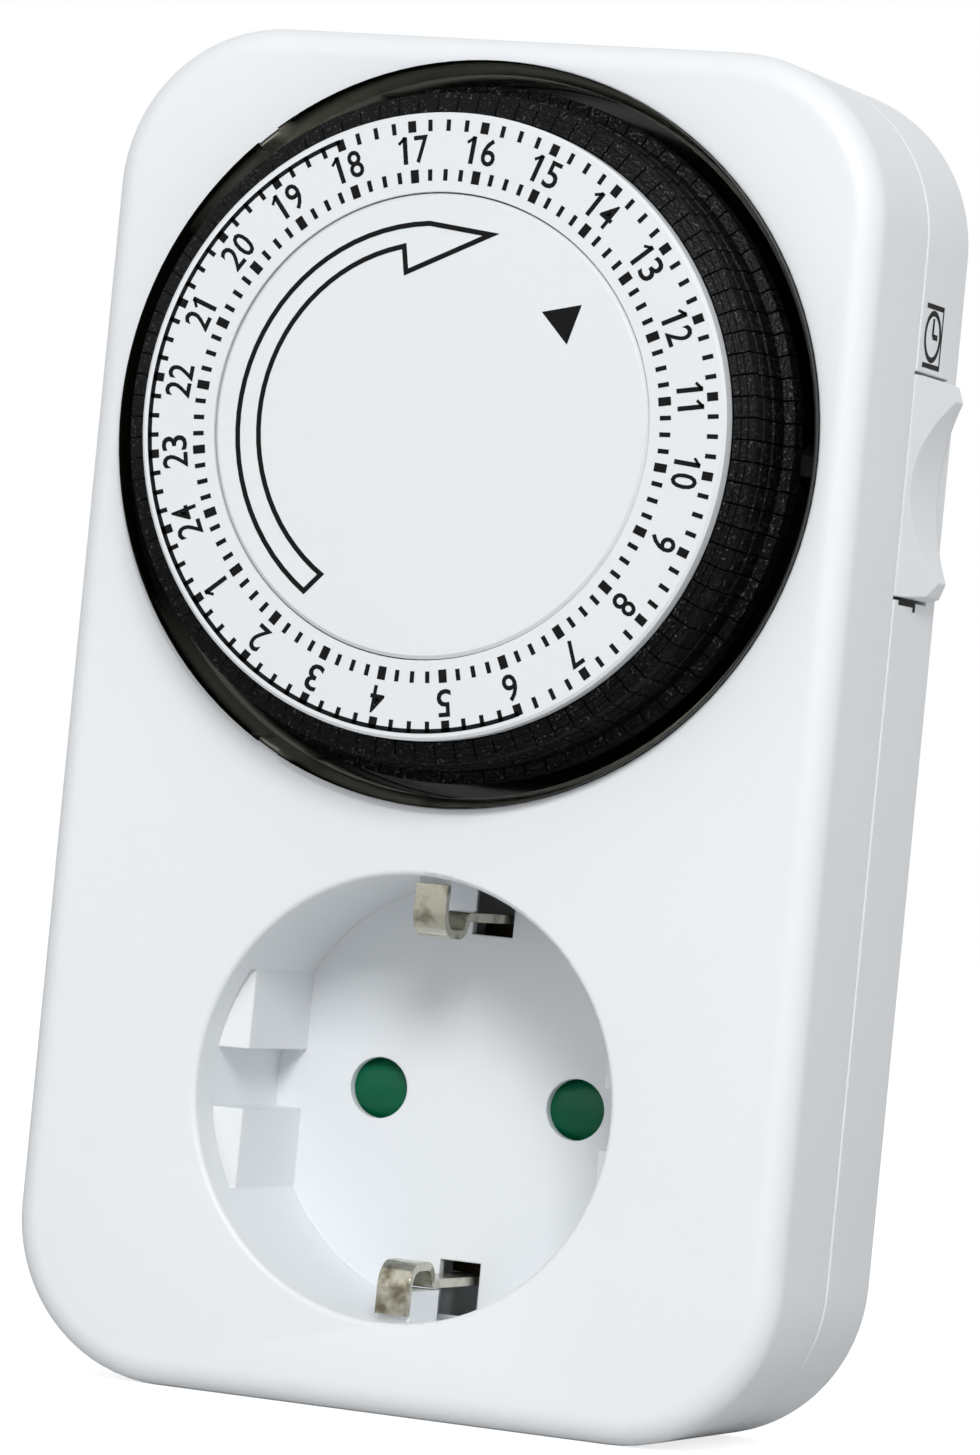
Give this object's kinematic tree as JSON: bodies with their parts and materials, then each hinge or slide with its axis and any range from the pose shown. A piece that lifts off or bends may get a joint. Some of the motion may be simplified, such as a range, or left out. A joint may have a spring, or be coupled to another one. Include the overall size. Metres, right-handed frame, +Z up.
{
  "type": "plug-in timer switch",
  "caption": "Plug-in mechanical timer switch: tall rounded box with a dial ringed by stepped push-in segments above a recessed round socket, a side rocker and a two-pin plug behind.",
  "frame": {"origin": "centre of the plug end face that meets the wall outlet, on the common axis of the plug and the front socket", "axes": "+Z up, +Y along the plug pins into the wall outlet, -Y towards the user, +X to the side with the override rocker"},
  "size_m": [0.0737, 0.0708, 0.1205],
  "materials": {
    "housing_white": "satin",
    "dial_white": "semi-gloss",
    "black_plastic": "semi-gloss",
    "smoked_plastic": "gloss",
    "green_plastic": "satin",
    "natural_plastic": "satin",
    "nickel": "nickel plate",
    "brass": "plain",
    "steel": "zinc plate",
    "coil": "varnished wire",
    "magnet": "ferrite"
  },
  "bodies": {
    "housing": {"centre_plate": "dial_white", "contact_carrier": "natural_plastic", "dial_well": "smoked_plastic", "earth_bridge": "brass", "earth_strap_lower": "nickel", "earth_strap_upper": "nickel", "follower_pin": "steel", "front_housing": "housing_white", "gear_arbors": "steel", "gear_plate": "brass", "gear_plate_screws": "steel", "housing_screws": "steel", "live_contact": "brass", "live_feed_bar": "brass", "live_pin": "nickel", "microswitch_case": "black_plastic", "motor_can": "steel", "motor_coil": "coil", "motor_end_plate": "steel", "neutral_contact": "brass", "neutral_pin": "nickel", "rear_housing": "housing_white", "rocker_pin": "steel", "shutter_retainer": "natural_plastic", "shutter_spring": "steel", "switched_live_bar": "brass", "thrust_washer": "steel"},
    "dial": {"dial_ring": "dial_white", "tappet_carrier": "black_plastic", "drive_wheel": "natural_plastic"},
    "output_gear": {"output_gear": "natural_plastic"},
    "intermediate_gear": {"intermediate_gear": "natural_plastic"},
    "motor_pinion": {"motor_pinion": "natural_plastic"},
    "motor_rotor": {"motor_rotor": "magnet"},
    "override_rocker": {"override_rocker": "housing_white"},
    "follower_lever": {"follower_lever": "natural_plastic"},
    "microswitch_plunger": {"microswitch_plunger": "natural_plastic"},
    "safety_shutter": {"safety_shutter": "green_plastic"},
    "tappets_00_to_02": {"tappets_00_to_02": "black_plastic"},
    "tappets_02_to_04": {"tappets_02_to_04": "black_plastic"},
    "tappets_04_to_06": {"tappets_04_to_06": "black_plastic"},
    "tappets_06_to_08": {"tappets_06_to_08": "black_plastic"},
    "tappets_08_to_10": {"tappets_08_to_10": "black_plastic"},
    "tappets_10_to_12": {"tappets_10_to_12": "black_plastic"},
    "tappets_12_to_14": {"tappets_12_to_14": "black_plastic"},
    "tappets_14_to_16": {"tappets_14_to_16": "black_plastic"},
    "tappets_16_to_18": {"tappets_16_to_18": "black_plastic"},
    "tappets_18_to_20": {"tappets_18_to_20": "black_plastic"},
    "tappets_20_to_22": {"tappets_20_to_22": "black_plastic"},
    "tappets_22_to_24": {"tappets_22_to_24": "black_plastic"}
  },
  "joints": [
    {"name": "dial_turn", "type": "hinge", "parent": "housing", "child": "dial", "pos_m": [0, -0.0518, 0.0581], "axis": [0, 1, 0], "continuous": true},
    {"name": "output_gear_turn", "type": "hinge", "parent": "housing", "child": "output_gear", "pos_m": [-0.00718, -0.0318, 0.03837], "axis": [0, 1, 0], "continuous": true},
    {"name": "intermediate_gear_turn", "type": "hinge", "parent": "housing", "child": "intermediate_gear", "pos_m": [-0.01688, -0.0299, 0.04397], "axis": [0, 1, 0], "continuous": true},
    {"name": "motor_pinion_turn", "type": "hinge", "parent": "housing", "child": "motor_pinion", "pos_m": [-0.01542, -0.0284, 0.05224], "axis": [0, 1, 0], "continuous": true},
    {"name": "motor_rotor_spin", "type": "hinge", "parent": "housing", "child": "motor_rotor", "pos_m": [-0.01542, -0.021, 0.05224], "axis": [0, 1, 0], "continuous": true},
    {"name": "override_rocker_tilt", "type": "hinge", "parent": "housing", "child": "override_rocker", "pos_m": [0.0331, -0.025, 0.0574], "axis": [0, 1, 0], "range_deg": [-5, 0]},
    {"name": "follower_lever_swing", "type": "hinge", "parent": "housing", "child": "follower_lever", "pos_m": [0.0286, -0.0289, 0.0676], "axis": [1, 0, 0], "range_deg": [-9, 0]},
    {"name": "microswitch_plunger_slide", "type": "slide", "parent": "housing", "child": "microswitch_plunger", "axis": [0, 1, 0], "range_m": [-0.00085, 0]},
    {"name": "safety_shutter_turn", "type": "hinge", "parent": "housing", "child": "safety_shutter", "pos_m": [0, -0.0235, 0], "axis": [0, 1, 0], "range_deg": [0, 38], "stiffness_Nm_per_rad": 0.002},
    {"name": "tappets_00_to_02_push", "type": "slide", "parent": "dial", "child": "tappets_00_to_02", "axis": [0, 1, 0], "range_m": [0, 0.0038]},
    {"name": "tappets_02_to_04_push", "type": "slide", "parent": "dial", "child": "tappets_02_to_04", "axis": [0, 1, 0], "range_m": [0, 0.0038]},
    {"name": "tappets_04_to_06_push", "type": "slide", "parent": "dial", "child": "tappets_04_to_06", "axis": [0, 1, 0], "range_m": [0, 0.0038]},
    {"name": "tappets_06_to_08_push", "type": "slide", "parent": "dial", "child": "tappets_06_to_08", "axis": [0, 1, 0], "range_m": [0, 0.0038]},
    {"name": "tappets_08_to_10_push", "type": "slide", "parent": "dial", "child": "tappets_08_to_10", "axis": [0, 1, 0], "range_m": [0, 0.0038]},
    {"name": "tappets_10_to_12_push", "type": "slide", "parent": "dial", "child": "tappets_10_to_12", "axis": [0, 1, 0], "range_m": [0, 0.0038]},
    {"name": "tappets_12_to_14_push", "type": "slide", "parent": "dial", "child": "tappets_12_to_14", "axis": [0, 1, 0], "range_m": [0, 0.0038]},
    {"name": "tappets_14_to_16_push", "type": "slide", "parent": "dial", "child": "tappets_14_to_16", "axis": [0, 1, 0], "range_m": [0, 0.0038]},
    {"name": "tappets_16_to_18_push", "type": "slide", "parent": "dial", "child": "tappets_16_to_18", "axis": [0, 1, 0], "range_m": [0, 0.0038]},
    {"name": "tappets_18_to_20_push", "type": "slide", "parent": "dial", "child": "tappets_18_to_20", "axis": [0, 1, 0], "range_m": [0, 0.0038]},
    {"name": "tappets_20_to_22_push", "type": "slide", "parent": "dial", "child": "tappets_20_to_22", "axis": [0, 1, 0], "range_m": [0, 0.0038]},
    {"name": "tappets_22_to_24_push", "type": "slide", "parent": "dial", "child": "tappets_22_to_24", "axis": [0, 1, 0], "range_m": [0, 0.0038]}
  ],
  "couplings": [
    {"joint": "output_gear_turn", "follows": "dial_turn", "ratio": -6},
    {"joint": "intermediate_gear_turn", "follows": "dial_turn", "ratio": 18},
    {"joint": "motor_pinion_turn", "follows": "dial_turn", "ratio": -54},
    {"joint": "microswitch_plunger_slide", "follows": "follower_lever_swing", "m_per_rad": 0.0053}
  ]
}
